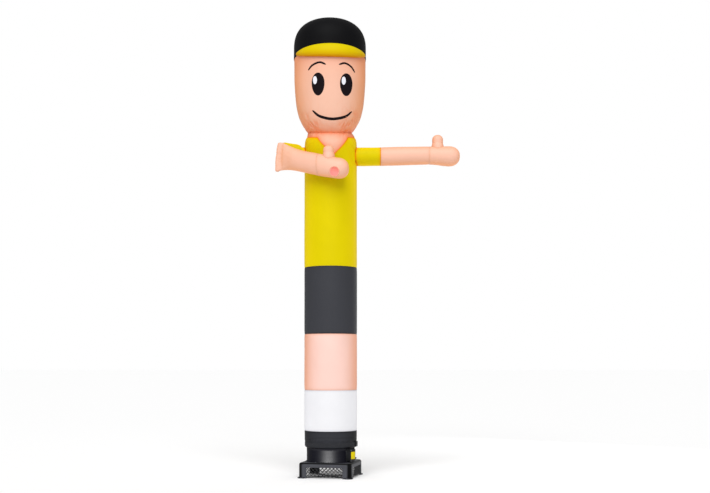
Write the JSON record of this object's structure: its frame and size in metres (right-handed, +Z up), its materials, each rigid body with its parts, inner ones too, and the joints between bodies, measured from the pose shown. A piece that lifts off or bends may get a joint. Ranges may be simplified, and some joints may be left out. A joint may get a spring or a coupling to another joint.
{
  "type": "inflatable air dancer and blower",
  "caption": "Tall blown-up cloth tube figure with a capped head and arms, sewn from coloured bands and tied over the round outlet of a plain square-based blower.",
  "frame": {"origin": "on the floor, at the middle of the underside of the base's cross brace, on the tube's axis", "axes": "+Z up along the tube, the face looks along -Y, the straight arm points along +X"},
  "size_m": [1.8022, 0.7971, 4.4622],
  "materials": {
    "yellow_ripstop": "coated ripstop nylon, low sheen",
    "skin_ripstop": "coated ripstop nylon, low sheen",
    "charcoal_ripstop": "coated ripstop nylon, low sheen",
    "white_ripstop": "coated ripstop nylon, low sheen",
    "black_ripstop": "coated ripstop nylon, low sheen",
    "black_webbing": "woven webbing, matt",
    "base_plastic": "moulded, fine grain",
    "drum_paint": "satin black paint on rolled sheet",
    "guard_wire": "black coating",
    "box_plastic": "moulded, satin",
    "plate_yellow": "plain, satin"
  },
  "bodies": {
    "root": {"boot_band": "black_ripstop", "cinch_strap": "black_webbing", "strap_buckle": "box_plastic", "sock_band": "white_ripstop", "leg_band": "skin_ripstop", "shorts_band": "charcoal_ripstop", "shirt": "yellow_ripstop", "neck_panel": "skin_ripstop", "head_panel": "skin_ripstop", "cap": "black_ripstop", "cap_peak": "yellow_ripstop", "sleeve_straight": "yellow_ripstop", "forearm_straight": "skin_ripstop", "hand_straight": "skin_ripstop", "thumb_straight": "skin_ripstop", "sleeve_bent": "yellow_ripstop", "forearm_bent": "skin_ripstop", "hand_bent": "skin_ripstop", "thumb_bent": "skin_ripstop", "blower_base": "base_plastic", "fan_drum": "drum_paint", "fan_motor": "box_plastic", "guard_front": "guard_wire", "guard_right": "guard_wire", "guard_back": "guard_wire", "guard_left": "guard_wire", "terminal_box": "box_plastic", "box_plate": "plate_yellow", "cable_gland": "box_plastic"}
  },
  "joints": []
}
